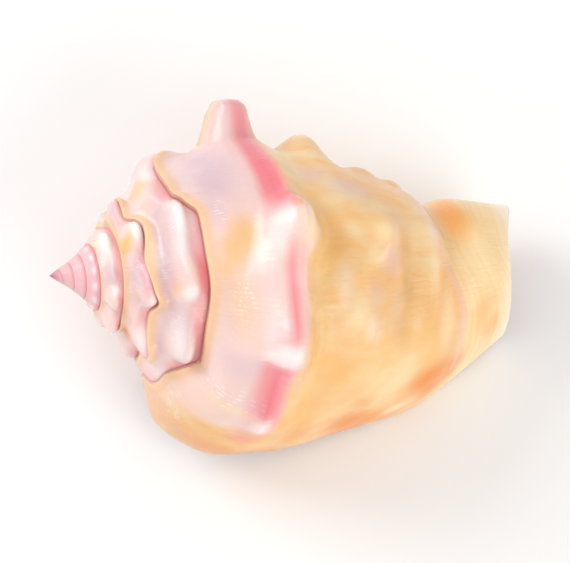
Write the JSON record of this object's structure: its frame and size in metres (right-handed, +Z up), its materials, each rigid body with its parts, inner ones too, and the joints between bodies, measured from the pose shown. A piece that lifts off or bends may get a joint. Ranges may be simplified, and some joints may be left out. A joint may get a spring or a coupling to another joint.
{
  "type": "sea snail shell",
  "caption": "Knobbed, right-handed sea snail shell with a pointed spire, a tall shoulder spine, a flared lip and an open aperture below, lying on its aperture side.",
  "frame": {"origin": "centre of the bounding box's footprint, at the level of the lowest points, where the shell lies on its lip and two knobs", "axes": "+X along the length from the spire to the front end, +Z up with the back of the shell up and the aperture down, +Y towards the side of the tall spine"},
  "size_m": [0.1032, 0.0746, 0.0595],
  "materials": {
    "shell": "polished"
  },
  "bodies": {
    "root": {"shell": "shell"}
  },
  "joints": []
}
